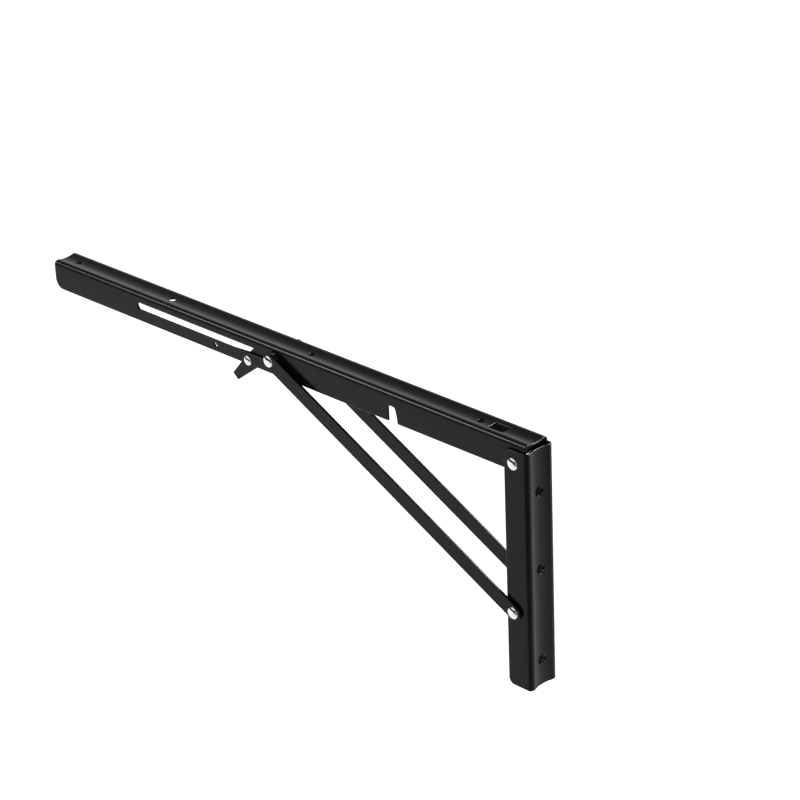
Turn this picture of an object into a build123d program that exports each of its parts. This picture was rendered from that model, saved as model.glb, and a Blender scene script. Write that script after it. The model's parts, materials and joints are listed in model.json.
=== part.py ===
"""A folding shelf bracket: a wall leg, a shelf arm that folds down flat against it,
a pair of brace straps, and the latch that holds the arm level.

Millimetres. The wall is the plane X = 0 and the arm reaches out along -X.
+Z is up, Y runs across the bracket, and the front of the pair of straps is on -Y.
The origin is midway between the top and bottom wall screw holes.
"""
from build123d import *
from math import acos, atan, atan2, cos, degrees, hypot, pi, radians, sin, sqrt
import os

os.makedirs("parts", exist_ok=True)

# Wall leg: a dished U channel standing on the wall
leg_width = 27.8
leg_depth = 21.2
leg_length = 189.0
leg_above_pivot = 10.2
leg_sheet = 1.8
leg_dish = 1.65
leg_top_corner = 4.5
leg_foot_corner = 5.0

# Shelf arm: a narrower dished U channel, nested between the leg's flanges
arm_reach = 500.0
arm_depth = 22.6
arm_above_pivot = 15.5
arm_wall_gap = 3.0
arm_sheet = 1.8
arm_dish = 0.95
arm_end_corner = 8.0
nest_gap = 0.5

# Both channels: bend radius outside the sheet, and the flat land beside the dish
bend_radius = 3.0
land_width = 1.2

# Wall screw holes, down from the pivot, and shelf screw holes, out from the wall
wall_hole_diameter = 7.4
wall_hole_drops = (23.0, 84.5, 158.0)
shelf_hole_diameter = 5.5
shelf_hole_reaches = (53.9, 221.6, 374.4, 483.0)

# The window in the arm that uncovers the top wall screw when the arm is folded
window_length = 13.4
window_width = 8.8
window_past_screw = 1.7

# Main pivot at the corner and the foot pin that the straps swing on
pivot_from_wall = 12.9
foot_from_wall = 13.4
foot_below_pivot = 117.3
rivet_shank = 5.0
rivet_head = 9.0
rivet_head_edge = 0.5
rivet_head_dome = 1.0
corner_sleeve_diameter = 8.0

# Brace straps: flat bar outside the leg's flanges
strap_width = 12.3
strap_sheet = 2.0
strap_gap = 0.5
strap_edge_round = 0.35

# Slot in the arm's flanges and the stud that slides in it
slot_width = 6.2
slot_above_pivot = 5.5
stud_from_wall = 252.1
stud_diameter = 6.0
stud_spigot = 4.0
collar_diameter = 9.5
slot_end_clearance = 0.6

# Notch in the arm's flanges that takes the foot pin when the arm is folded
notch_side_clearance = 1.7
notch_roof_clearance = 2.3
notch_roof_half = 2.2
notch_flare = 4.7
notch_flare_bulge = 0.55
notch_roof_corner = 0.8

# Latch lever inside the front flange
latch_from_wall = 279.7
latch_below_pivot = 3.9
latch_sheet = 2.0
latch_side_gap = 0.3
latch_catch_gap = 0.4
latch_roof_gap = 0.5
latch_shank = 4.0
latch_head = 7.6
latch_sleeve_diameter = 6.4
latch_tab_length = 25.9
latch_tab_angle = 227.3
latch_tab_width = 7.0
latch_ramp_angle = 43.5
latch_ramp_offset = 4.6
latch_belly_angle = 37.0
latch_catch_half_angle = 11.0
latch_corner = 1.0

# Latch spring: its anchor leg ends in the small hole in the front flange, up against its rim
spring_wire = 1.2
spring_flat_count = 8
spring_coils = 3
spring_pitch = 1.45
spring_sleeve_gap = 0.35
spring_side_gap = 0.8
spring_hole_diameter = 3.2
spring_hole_reach = 35.2
spring_hole_rise = 2.1
spring_tip_inward = 0.5
spring_tip_upward = 0.6
spring_bend_radius = 2.0
spring_working_leg = 13.0
spring_working_angle = 188.0

# Running play: round a shank, beside a face, and at the opened pivot
shank_play = 0.06
face_play = 0.05
open_pivot_gap = 0.3
head_play = 0.1

# Places that follow from the sizes above
wall_hole_span = wall_hole_drops[-1] - wall_hole_drops[0]
pivot_x = -pivot_from_wall
pivot_z = wall_hole_span / 2 + wall_hole_drops[0]
foot_x = -foot_from_wall
foot_z = pivot_z - foot_below_pivot
leg_top = pivot_z + leg_above_pivot
arm_top = pivot_z + arm_above_pivot
arm_bottom = arm_top - arm_depth
slot_z = pivot_z + slot_above_pivot
stud_x = -stud_from_wall
latch_x = -latch_from_wall
latch_z = pivot_z - latch_below_pivot

leg_face = leg_width / 2
leg_inner = leg_face - leg_sheet
arm_face = leg_inner - nest_gap
arm_inner = arm_face - arm_sheet
arm_width = 2 * arm_face
strap_inner = leg_face + strap_gap
strap_outer = strap_inner + strap_sheet

brace_length = hypot(stud_x - foot_x, slot_z - foot_z)
# Folded, the slot stands upright and the stud sits this far below the pivot
folded_offset = slot_above_pivot - (foot_from_wall - pivot_from_wall)
folded_stud = foot_below_pivot + sqrt(brace_length ** 2 - folded_offset ** 2)


def channel_section(width, depth, sheet, dish):
    """Section of a U channel: X across it, Y from its lands towards its free edges."""
    half = width / 2
    dish_half = half - bend_radius - land_width
    dish_radius = (dish_half ** 2 + dish ** 2) / (2 * dish)
    inner_half = sqrt((dish_radius + sheet) ** 2 - (dish_radius - dish + sheet) ** 2)
    bend_centre = half - bend_radius
    slant = cos(radians(45))
    inner_bend = bend_radius - sheet
    with BuildSketch() as section:
        with BuildLine():
            Line((-half, depth), (-half, bend_radius))
            ThreePointArc((-half, bend_radius),
                          (-bend_centre - bend_radius * slant, bend_radius * (1 - slant)),
                          (-bend_centre, 0))
            Line((-bend_centre, 0), (-dish_half, 0))
            ThreePointArc((-dish_half, 0), (0, dish), (dish_half, 0))
            Line((dish_half, 0), (bend_centre, 0))
            ThreePointArc((bend_centre, 0),
                          (bend_centre + bend_radius * slant, bend_radius * (1 - slant)),
                          (half, bend_radius))
            Line((half, bend_radius), (half, depth))
            Line((half, depth), (half - sheet, depth))
            Line((half - sheet, depth), (half - sheet, bend_radius))
            ThreePointArc((half - sheet, bend_radius),
                          (bend_centre + inner_bend * slant, bend_radius - inner_bend * slant),
                          (bend_centre, sheet))
            Line((bend_centre, sheet), (inner_half, sheet))
            ThreePointArc((inner_half, sheet), (0, dish + sheet), (-inner_half, sheet))
            Line((-inner_half, sheet), (-bend_centre, sheet))
            ThreePointArc((-bend_centre, sheet),
                          (-bend_centre - inner_bend * slant, bend_radius - inner_bend * slant),
                          (sheet - half, bend_radius))
            Line((sheet - half, bend_radius), (sheet - half, depth))
            Line((sheet - half, depth), (-half, depth))
        make_face()
    return section.sketch


def side_plate(outline, near, far):
    """A sketch in X and Z, made solid between two places along Y."""
    placed = Plane((0, near, 0), x_dir=(1, 0, 0), z_dir=(0, -1, 0)) * outline
    return extrude(placed, amount=far - near, dir=(0, 1, 0))


def cross_pin(x, z, radius, near, far):
    """A round bar along Y."""
    return side_plate(Pos(x, z) * Circle(radius), near, far)


def ring(x, z, outer, inner, near, far):
    """A washer, collar or tube along Y."""
    return cross_pin(x, z, outer, near, far) - cross_pin(x, z, inner, near, far)


def rivet_cap(x, z, radius, seat, side):
    """A low domed head on the plane Y = seat, bulging towards side (-1 or 1)."""
    cap_radius = (radius ** 2 + rivet_head_dome ** 2) / (2 * rivet_head_dome)
    with BuildSketch(Plane.XY) as half_section:
        with BuildLine():
            Line((0, 0), (radius, 0))
            Line((radius, 0), (radius, rivet_head_edge))
            ThreePointArc((radius, rivet_head_edge),
                          (radius / 2, rivet_head_edge + rivet_head_dome
                           - cap_radius + sqrt(cap_radius ** 2 - radius ** 2 / 4)),
                          (0, rivet_head_edge + rivet_head_dome))
            Line((0, rivet_head_edge + rivet_head_dome), (0, 0))
        make_face()
    cap = revolve(half_section.sketch, Axis.Y, 360)
    if side < 0:
        cap = cap.mirror(Plane.XZ)
    return Pos(x, seat, z) * cap


def through_rivet(x, z, shank, head, seat):
    """A rivet right through the bracket, with a head outside Y = -seat and Y = seat."""
    rivet = cross_pin(x, z, shank / 2, -seat, seat)
    for side in (-1, 1):
        rivet += rivet_cap(x, z, head / 2, side * seat, side)
    return rivet


def wall_leg():
    section = channel_section(leg_width, leg_depth, leg_sheet, leg_dish)
    upright = Plane((0, 0, leg_top - leg_length), x_dir=(0, 1, 0), z_dir=(0, 0, 1))
    leg = extrude(upright * section, amount=leg_length, dir=(0, 0, 1))
    with BuildSketch() as outline:
        with Locations((-leg_depth / 2, leg_top - leg_length / 2)):
            Rectangle(leg_depth, leg_length)
        free_corners = outline.vertices().group_by(Axis.X)[0].sort_by(Axis.Y)
        fillet(free_corners[0], leg_foot_corner)
        free_corners = outline.vertices().group_by(Axis.X)[0].sort_by(Axis.Y)
        fillet(free_corners[-1], leg_top_corner)
    leg &= side_plate(outline.sketch, -leg_face, leg_face)
    for drop in wall_hole_drops:
        leg -= (Pos(-leg_depth / 2, 0, pivot_z - drop) * Rot(0, 90, 0)
                * Cylinder(wall_hole_diameter / 2, leg_depth))
    for x, z in ((pivot_x, pivot_z), (foot_x, foot_z)):
        leg -= cross_pin(x, z, rivet_shank / 2, -leg_face, leg_face)
    return leg


def arm_outline():
    """The arm's side view: its far lower corner is rounded, and its near one turns
    about the pivot so that it clears the leg as the arm folds."""
    near_end = -arm_wall_gap
    turn_radius = pivot_from_wall - arm_wall_gap
    below = arm_depth - arm_above_pivot
    swing_end = pivot_x + sqrt(turn_radius ** 2 - below ** 2)
    middle = atan2(arm_bottom - pivot_z, swing_end - pivot_x) / 2
    with BuildSketch() as outline:
        with BuildLine():
            Line((-arm_reach, arm_top), (near_end, arm_top))
            Line((near_end, arm_top), (near_end, pivot_z))
            ThreePointArc((near_end, pivot_z),
                          (pivot_x + turn_radius * cos(middle), pivot_z + turn_radius * sin(middle)),
                          (swing_end, arm_bottom))
            Line((swing_end, arm_bottom), (-arm_reach, arm_bottom))
            Line((-arm_reach, arm_bottom), (-arm_reach, arm_top))
        make_face()
        far_corner = outline.vertices().group_by(Axis.X)[0].sort_by(Axis.Y)[0]
        fillet(far_corner, arm_end_corner)
    return outline.sketch


def notch_outline():
    """The mouth that the foot pin enters: one side upright, the other flared."""
    centre_x = pivot_x - foot_below_pivot
    centre_z = pivot_z + foot_from_wall - pivot_from_wall
    pin = rivet_shank / 2
    left = centre_x - pin - notch_side_clearance
    roof = centre_z + pin + notch_roof_clearance
    right_top = centre_x + notch_roof_half
    right_foot = centre_x + notch_flare
    belly_x = (right_top + right_foot) / 2 + notch_flare_bulge
    with BuildSketch() as outline:
        with BuildLine():
            Line((left, arm_bottom), (left, roof))
            Line((left, roof), (right_top, roof))
            ThreePointArc((right_top, roof), (belly_x, (roof + arm_bottom) / 2), (right_foot, arm_bottom))
            Line((right_foot, arm_bottom), (left, arm_bottom))
        make_face()
        fillet(outline.vertices().group_by(Axis.Y)[-1], notch_roof_corner)
    return outline.sketch


def slot_outline():
    """The long slot, from the stud's open place to its folded place."""
    open_end = stud_x + stud_diameter / 2 + slot_end_clearance
    folded_end = pivot_x - folded_stud - stud_diameter / 2 - slot_end_clearance
    return Pos((open_end + folded_end) / 2, slot_z) * SlotOverall(open_end - folded_end, slot_width)


def shelf_arm():
    section = channel_section(arm_width, arm_depth, arm_sheet, arm_dish)
    level = Plane((-arm_reach, 0, arm_top), x_dir=(0, 1, 0), z_dir=(1, 0, 0))
    arm = extrude(level * section.mirror(Plane.XZ), amount=arm_reach - arm_wall_gap,
                  dir=(1, 0, 0))
    arm &= side_plate(arm_outline(), -arm_face, arm_face)
    arm -= side_plate(notch_outline(), -arm_face, arm_face)
    arm -= side_plate(slot_outline(), -arm_face, arm_face)
    for reach in shelf_hole_reaches:
        arm -= Pos(-reach, 0, arm_top - arm_depth / 2) * Cylinder(shelf_hole_diameter / 2, arm_depth)
    window_x = pivot_x - wall_hole_drops[0] - window_past_screw
    arm -= Pos(window_x, 0, arm_top - arm_depth / 2) * Box(window_length, window_width, arm_depth)
    arm -= cross_pin(pivot_x, pivot_z, rivet_shank / 2 + shank_play, -arm_face, arm_face)
    arm -= cross_pin(latch_x, latch_z, latch_shank / 2, -arm_face, arm_face)
    arm -= cross_pin(latch_x - spring_hole_reach, latch_z + spring_hole_rise,
                     spring_hole_diameter / 2, -arm_face, arm_face)
    return arm


def strap(side):
    """A brace strap from the foot pin to the slot, on the outside of the leg."""
    middle = Pos((stud_x + foot_x) / 2, (slot_z + foot_z) / 2)
    slope = Vector(stud_x - foot_x, slot_z - foot_z).get_signed_angle(Vector(1, 0), Vector(0, 0, -1))
    bar = middle * Rot(0, 0, slope) * SlotCenterToCenter(brace_length, strap_width)
    near, far = sorted((side * strap_inner, side * strap_outer))
    body = side_plate(bar, near, far)
    body = fillet(body.faces().filter_by(Axis.Y).edges(), strap_edge_round)
    body -= cross_pin(foot_x, foot_z, rivet_shank / 2 + shank_play, near, far)
    body -= cross_pin(stud_x, slot_z, rivet_shank / 2, near, far)
    return body


def strap_rivet(side):
    """The strap's half of the sliding pin: a head outside the strap and a shank in it."""
    near, far = sorted((side * strap_inner, side * strap_outer))
    shank = cross_pin(stud_x, slot_z, rivet_shank / 2, near, far)
    return shank + rivet_cap(stud_x, slot_z, rivet_head / 2, side * strap_outer, side)


def slide_stud(side):
    """The arm's half of the sliding pin: it fills the slot and carries the collar."""
    slot_near = arm_inner - face_play
    slot_far = arm_face + face_play
    tip = strap_inner - open_pivot_gap
    near, far = sorted((side * slot_near, side * slot_far))
    stud = cross_pin(stud_x, slot_z, stud_diameter / 2, near, far)
    near, far = sorted((side * slot_far, side * tip))
    return stud + cross_pin(stud_x, slot_z, stud_spigot / 2, near, far)


def slide_collar(side):
    """The collar that keeps the strap off the arm's flange."""
    near, far = sorted((side * (arm_face + face_play), side * (strap_inner - open_pivot_gap)))
    return ring(stud_x, slot_z, collar_diameter / 2, stud_spigot / 2, near, far)


def foot_washer(side):
    """The thin washer between the leg and a strap."""
    near, far = sorted((side * (leg_face + face_play), side * (strap_inner - face_play)))
    return ring(foot_x, foot_z, rivet_head / 2, rivet_shank / 2 + shank_play, near, far)


def corner_washer(side):
    """The thin washer between the arm's flange and the leg's."""
    near, far = sorted((side * (arm_face + face_play), side * (leg_inner - face_play)))
    return ring(pivot_x, pivot_z, rivet_head / 2, rivet_shank / 2 + shank_play, near, far)


def latch_outline():
    """The lever's outline, worked out about its own pivot and then moved there."""
    stud_away = Vector(stud_x - latch_x, slot_z - latch_z)
    catch_radius = stud_away.length - stud_diameter / 2 - latch_catch_gap
    catch_middle = Vector(1, 0).get_angle(stud_away)
    roof = arm_top - arm_sheet - arm_dish - latch_roof_gap - latch_z

    tab_way = Vector(cos(radians(latch_tab_angle)), sin(radians(latch_tab_angle)))
    tab_side = Vector(tab_way.Y, -tab_way.X)
    tab_end = tab_way * latch_tab_length
    tab_upper = tab_end + tab_side * (latch_tab_width / 2)
    tab_lower = tab_end - tab_side * (latch_tab_width / 2)

    ramp_way = Vector(cos(radians(latch_ramp_angle)), sin(radians(latch_ramp_angle)))
    ramp_start = Vector(-ramp_way.Y, ramp_way.X) * latch_ramp_offset
    ramp_top = ramp_start + ramp_way * ((roof - ramp_start.Y) / ramp_way.Y)

    high = radians(catch_middle + latch_catch_half_angle)
    low = radians(catch_middle - latch_catch_half_angle)
    catch_high = Vector(cos(high), sin(high)) * catch_radius
    catch_mid = stud_away.normalized() * catch_radius
    catch_low = Vector(cos(low), sin(low)) * catch_radius
    belly_way = Vector(cos(radians(latch_belly_angle)), sin(radians(latch_belly_angle)))
    belly_end = tab_lower + belly_way * ((catch_low.Y - tab_lower.Y) / belly_way.Y)
    back_top = Vector(catch_high.X - (roof - catch_high.Y), roof)

    with BuildSketch() as outline:
        with BuildLine():
            Polyline(catch_low, belly_end, tab_lower, tab_upper, ramp_start, ramp_top, back_top, catch_high)
            ThreePointArc(catch_high, catch_mid, catch_low)
        make_face()
        tab_corners = outline.vertices().sort_by(Axis.Y)[0:2]
        fillet(tab_corners, latch_corner)
    return Pos(latch_x, latch_z) * outline.sketch


def latch_near():
    """The lever's front face along Y."""
    return -arm_inner + latch_side_gap


def latch_lever():
    near = latch_near()
    lever = side_plate(latch_outline(), near, near + latch_sheet)
    return lever - cross_pin(latch_x, latch_z, latch_shank / 2 + shank_play, near, near + latch_sheet)


def latch_sleeve():
    """The tube on the latch rivet that holds the lever against the front flange."""
    near = latch_near() + latch_sheet + face_play
    return ring(latch_x, latch_z, latch_sleeve_diameter / 2, latch_shank / 2, near, arm_inner)


def latch_spring():
    """A torsion spring on the sleeve. Its anchor leg, at the front, ends in the small hole in
    the front flange, and its working leg, at the rear, points along the lever's tab."""
    wire = spring_wire / 2
    coil_radius = latch_sleeve_diameter / 2 + spring_sleeve_gap + wire
    anchor = Vector(spring_tip_inward - spring_hole_reach, spring_tip_upward + spring_hole_rise)
    anchor_angle = degrees(atan2(anchor.Y, anchor.X))
    start_angle = anchor_angle - degrees(acos(coil_radius / anchor.length))
    finish_angle = spring_working_angle + 90 - 360
    wraps = spring_coils + (start_angle - finish_angle) / 360
    height = wraps * spring_pitch
    slope = spring_pitch / (2 * pi * coil_radius)
    tangent_run = sqrt(anchor.length ** 2 - coil_radius ** 2)
    front_y = latch_near() + latch_sheet + spring_side_gap + wire

    # Each leg leaves the coil along its own tangent, so the wire runs on without a kink.
    # The wire's section has flats, which keeps its facets few.
    wire_section = RegularPolygon(wire, spring_flat_count)
    helix = Helix(spring_pitch, height, coil_radius, lefthand=True)
    wound = sweep(Plane(helix @ 0, z_dir=helix % 0) * wire_section, helix, is_frenet=True)
    bend = helix @ 0 - (helix % 0) * (tangent_run / cos(atan(slope)))
    tip = Vector(bend.X, bend.Y, -front_y - arm_face)
    anchor_leg = FilletPolyline(helix @ 0, bend, tip, radius=spring_bend_radius)
    wound += sweep(Plane(helix @ 0, z_dir=anchor_leg % 0) * wire_section, anchor_leg)
    wound += extrude(Plane(helix @ 1, z_dir=helix % 1) * wire_section, amount=spring_working_leg)
    facing = Plane((latch_x, front_y, latch_z), x_dir=(1, 0, 0), z_dir=(0, -1, 0))
    return facing * (Rot(0, 0, start_angle) * wound).mirror(Plane.XY)


def main():
    nodes = {
        "wall_leg": wall_leg(),
        "shelf_arm": shelf_arm(),
        "corner_rivet": through_rivet(pivot_x, pivot_z, rivet_shank, rivet_head, leg_face),
        "corner_sleeve": ring(pivot_x, pivot_z, corner_sleeve_diameter / 2, rivet_shank / 2,
                              face_play - arm_inner, arm_inner - face_play),
        "foot_rivet": through_rivet(foot_x, foot_z, rivet_shank, rivet_head, strap_outer + head_play),
        "latch_rivet": through_rivet(latch_x, latch_z, latch_shank, latch_head, arm_face),
        "latch_lever": latch_lever(),
        "latch_sleeve": latch_sleeve(),
        "latch_spring": latch_spring(),
    }
    for side, name in ((-1, "front"), (1, "rear")):
        nodes[name + "_strap"] = strap(side)
        nodes[name + "_strap_rivet"] = strap_rivet(side)
        nodes[name + "_slide_stud"] = slide_stud(side)
        nodes[name + "_slide_collar"] = slide_collar(side)
        nodes[name + "_foot_washer"] = foot_washer(side)
        nodes[name + "_corner_washer"] = corner_washer(side)
    for name, solid in nodes.items():
        export_step(solid, os.path.join("parts", name + ".step"))
        print(name, round(solid.volume, 1))


main()
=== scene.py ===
# %% [markdown]
# # A folding shelf bracket, dressed
#
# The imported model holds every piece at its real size. This notebook gives it its looks: the two pressed
# channels get the soft edges of painted sheet, the rivets get turned and plated heads, and each finish is
# worked out from what the real one is. We start by loading the model, because every new piece is measured
# from it.

# %% Load the bracket
import json
from math import asin, atan2, cos, pi, radians, sin, sqrt

import bpy
from mathutils import Matrix, Vector


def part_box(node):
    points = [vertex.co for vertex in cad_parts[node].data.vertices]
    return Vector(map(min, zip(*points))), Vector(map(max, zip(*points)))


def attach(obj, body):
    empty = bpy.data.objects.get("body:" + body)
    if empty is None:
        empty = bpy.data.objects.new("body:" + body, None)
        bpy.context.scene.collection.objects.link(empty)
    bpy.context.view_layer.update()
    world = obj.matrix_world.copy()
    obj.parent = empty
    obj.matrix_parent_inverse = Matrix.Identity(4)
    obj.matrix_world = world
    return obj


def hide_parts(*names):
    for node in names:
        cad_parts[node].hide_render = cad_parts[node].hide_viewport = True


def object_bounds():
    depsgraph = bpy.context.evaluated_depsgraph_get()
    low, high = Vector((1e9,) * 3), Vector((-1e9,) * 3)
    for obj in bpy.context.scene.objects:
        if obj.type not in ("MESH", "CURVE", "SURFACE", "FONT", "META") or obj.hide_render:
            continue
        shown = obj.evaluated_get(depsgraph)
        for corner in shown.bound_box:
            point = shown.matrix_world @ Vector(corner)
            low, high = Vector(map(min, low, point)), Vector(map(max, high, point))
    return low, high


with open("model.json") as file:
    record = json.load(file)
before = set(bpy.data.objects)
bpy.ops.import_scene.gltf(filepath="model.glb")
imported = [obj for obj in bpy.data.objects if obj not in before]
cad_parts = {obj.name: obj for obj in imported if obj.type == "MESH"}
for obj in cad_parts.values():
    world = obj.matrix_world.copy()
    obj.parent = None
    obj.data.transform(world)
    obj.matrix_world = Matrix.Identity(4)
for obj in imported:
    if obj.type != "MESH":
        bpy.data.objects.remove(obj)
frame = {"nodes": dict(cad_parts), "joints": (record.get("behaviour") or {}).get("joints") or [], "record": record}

cad_low, cad_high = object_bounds()
print("bracket from", tuple(cad_low), "to", tuple(cad_high))

# %% [markdown]
# ## Sizes
#
# Blender works in metres, so a real size is written in millimetres and turned with `MM`. The joints and the
# mounts in the record tell where the rivets and the screw holes are. Only the sheet's own sizes are written
# again here: its thickness, its bends, the flat land beside its dish, the dish's depth, and the round that
# paint gives to a cut edge.

# %% Sizes of the sheet
MM = 0.001
SHEET = 1.8 * MM
BEND_RADIUS = 3.0 * MM
LAND = 1.2 * MM
ARM_DISH = 0.95 * MM
LEG_DISH = 1.65 * MM
PAINT_ROUND = 0.6 * MM

# %% Places read from the record
joints = {joint["name"]: joint for joint in frame["joints"]}
mounts = {mount["name"]: mount for mount in frame["record"]["mounts"]}
corner = Vector(joints["arm_fold"]["pos_m"])
foot = Vector(joints["brace_swing"]["pos_m"])
latch = Vector(joints["latch_release"]["pos_m"])


def row_of_two(name, spacing):
    """The two places of a mount that is a row of two holes."""
    mount = mounts[name]
    middle = Vector(mount["pos_m"])
    along = Vector((1, 0, 0)) if spacing == "spacing_x_mm" else Vector((0, 0, 1))
    half = along * mount["dims"][spacing] * MM / 2
    return [middle - half, middle + half]


wall_holes = row_of_two("wall_holes", "spacing_y_mm") + [Vector(mounts["wall_hole_middle"]["pos_m"])]
shelf_holes = (row_of_two("shelf_holes_outer", "spacing_x_mm")
               + row_of_two("shelf_holes_inner", "spacing_x_mm"))
WALL_HOLE_RADIUS = mounts["wall_holes"]["dims"]["hole_r_mm"] * MM
SHELF_HOLE_RADIUS = mounts["shelf_holes_outer"]["dims"]["hole_r_mm"] * MM
print(len(wall_holes), "wall holes and", len(shelf_holes), "shelf holes")

# %% [markdown]
# ## Working by hand, in code
#
# An operator works on everything that is selected, so each step first selects exactly what it needs. These
# small helpers do that: one lets go of everything, one takes hold of a single piece, and one picks vertices,
# edges or faces by where they are. Places closer than `NEAR` count as one.

# %% Helpers for selecting
NEAR = 0.01 * MM


def let_go():
    bpy.ops.object.select_all(action="DESELECT")


def take(piece):
    """Selects one piece alone and makes it the active one."""
    let_go()
    piece.select_set(True)
    bpy.context.view_layer.objects.active = piece
    return piece


def new_piece(name):
    """Names the piece that an operator has just added."""
    piece = bpy.context.active_object
    piece.name = name
    piece.data.name = name
    return piece


def pick(piece, wanted, kind="VERT"):
    """In edit mode, selects the vertices, or the faces or edges whose vertices, all pass a test."""
    bpy.ops.mesh.select_mode(type=kind)
    bpy.ops.mesh.select_all(action="DESELECT")
    bpy.ops.object.mode_set(mode="OBJECT")
    parts = {"VERT": piece.data.vertices, "EDGE": piece.data.edges, "FACE": piece.data.polygons}[kind]
    for part in parts:
        corners = [part.index] if kind == "VERT" else part.vertices
        part.select = all(wanted(piece.data.vertices[corner_index].co) for corner_index in corners)
    bpy.ops.object.mode_set(mode="EDIT")


def settle(piece):
    """Puts a piece's place into its mesh, so that its object sits at the origin."""
    take(piece)
    bpy.ops.object.transform_apply(location=True, rotation=True, scale=True)


def apply_modifier(piece, kind, **settings):
    """Adds one modifier with its settings and applies it at once."""
    take(piece)
    modifier = piece.modifiers.new(kind.title(), kind)
    for name, value in settings.items():
        setattr(modifier, name, value)
    bpy.ops.object.modifier_apply(modifier=modifier.name)


# %% [markdown]
# ## Folding a channel
#
# The real leg and arm are strips of steel, folded in a press: two flanges, two bends, and a shallow dish
# pressed along the web between two flat lands. So the outer line of the section is drawn the way the press
# makes it. A point is extruded down a flange, spun round a bend, extruded along the land, spun over the
# dish, and so on to the other flange. That line is then extruded along the length, and Solidify gives the
# sheet its thickness on the inside.
#
# The profile is drawn across Y with the web up, and the length runs along -X. The leg is the same channel,
# turned upright afterwards.

# %% Draw the section and pull it out
BEND_STEPS = 10
DISH_STEPS = 14
LENGTH_CUTS = 60


def draw_section(name, width, depth, dish):
    """The outer line of a dished channel's section, made by extruding and spinning one point."""
    half = width / 2
    dish_half = half - BEND_RADIUS - LAND
    dish_radius = (dish_half ** 2 + dish ** 2) / (2 * dish)
    dish_turn = 2 * asin(dish_half / dish_radius)
    let_go()
    bpy.ops.mesh.primitive_plane_add(size=width)
    section = new_piece(name)
    bpy.ops.object.mode_set(mode="EDIT")
    bpy.ops.mesh.merge(type="CENTER")
    bpy.ops.transform.translate(value=(0, -half, -depth))

    def straight(y, z):
        bpy.ops.mesh.extrude_region_move(TRANSFORM_OT_translate={"value": (0, y, z)})

    def arc(turn, y, z, steps):
        bpy.ops.mesh.spin(steps=steps, angle=turn, center=(0, y, z), axis=(1, 0, 0))

    straight(0, depth - BEND_RADIUS)
    arc(pi / 2, -half + BEND_RADIUS, -BEND_RADIUS, BEND_STEPS)
    straight(LAND, 0)
    arc(-dish_turn, 0, dish_radius - dish, DISH_STEPS)
    straight(LAND, 0)
    arc(pi / 2, half - BEND_RADIUS, -BEND_RADIUS, BEND_STEPS)
    straight(0, BEND_RADIUS - depth)
    bpy.ops.object.mode_set(mode="OBJECT")
    return section


def pull_out(section, length):
    """Extrudes the section along -X, cuts it into short lengths and thickens it inwards."""
    take(section)
    bpy.ops.object.mode_set(mode="EDIT")
    bpy.ops.mesh.select_all(action="SELECT")
    bpy.ops.mesh.remove_doubles(threshold=NEAR)
    bpy.ops.mesh.extrude_region_move(TRANSFORM_OT_translate={"value": (-length, 0, 0)})
    bpy.ops.mesh.select_mode(type="EDGE")
    bpy.ops.mesh.select_all(action="DESELECT")
    bpy.ops.object.mode_set(mode="OBJECT")
    mesh = section.data
    for edge in mesh.edges:
        first, last = (mesh.vertices[index].co for index in edge.vertices)
        edge.select = abs(first.x - last.x) > length / 2
    bpy.ops.object.mode_set(mode="EDIT")
    bpy.ops.mesh.subdivide(number_cuts=LENGTH_CUTS)
    bpy.ops.mesh.select_all(action="SELECT")
    bpy.ops.mesh.normals_make_consistent(inside=False)
    bpy.ops.object.mode_set(mode="OBJECT")
    if max(mesh.polygons, key=lambda face: face.center.z).normal.z < 0:
        bpy.ops.object.mode_set(mode="EDIT")
        bpy.ops.mesh.select_all(action="SELECT")
        bpy.ops.mesh.flip_normals()
        bpy.ops.object.mode_set(mode="OBJECT")
    for _ in range(2):
        mesh.materials.append(None)
    apply_modifier(section, "SOLIDIFY", thickness=SHEET, offset=-1.0, use_even_offset=True, material_offset=1)
    print(section.name, len(mesh.polygons), "faces before its holes are cut")
    return section


# %% [markdown]
# ## Punching the holes
#
# Holes, the slot, the notch and the rounded corners are punched after folding here, with cutters and the
# Boolean modifier. A cutter is a primitive too: a cylinder for a round hole, a cylinder stretched by moving
# half of it for the slot, and a plate whose corner is bevelled for the rounded flange ends. The exact solver
# is slower than the fast one, but leaves a clean rim that can be rounded afterwards. Edges that meet at less
# than `SMOOTH_BELOW` are shaded as one surface, and those at more than `SHARP_ABOVE` get the paint's round.

# %% Cutters
HOLE_STEPS = 40
CORNER_STEPS = 12
SMOOTH_BELOW = radians(12)
SHARP_ABOVE = radians(50)
SLIVER = 0.05 * MM


def round_cutter(name, centre, radius, length, along):
    """A cylinder through a point, along Y or along another axis."""
    turns = {"X": (0, pi / 2, 0), "Y": (pi / 2, 0, 0), "Z": (0, 0, 0)}
    let_go()
    bpy.ops.mesh.primitive_cylinder_add(vertices=HOLE_STEPS, radius=radius, depth=length,
                                        location=centre, rotation=turns[along])
    cutter = new_piece(name)
    settle(cutter)
    return cutter


def slot_cutter(name, first, last, radius, length):
    """A cylinder along Y, stretched along X by moving the half nearer to its last place."""
    cutter = round_cutter(name, first, radius, length, "Y")
    way = -1 if last.x < first.x else 1
    bpy.ops.object.mode_set(mode="EDIT")
    pick(cutter, lambda place: (place.x - first.x) * way > NEAR)
    bpy.ops.transform.translate(value=(last.x - first.x, 0, 0))
    bpy.ops.object.mode_set(mode="OBJECT")
    return cutter


def box_cutter(name, low, high):
    let_go()
    bpy.ops.mesh.primitive_cube_add(size=1, location=(low + high) / 2, scale=high - low)
    cutter = new_piece(name)
    settle(cutter)
    return cutter


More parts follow.
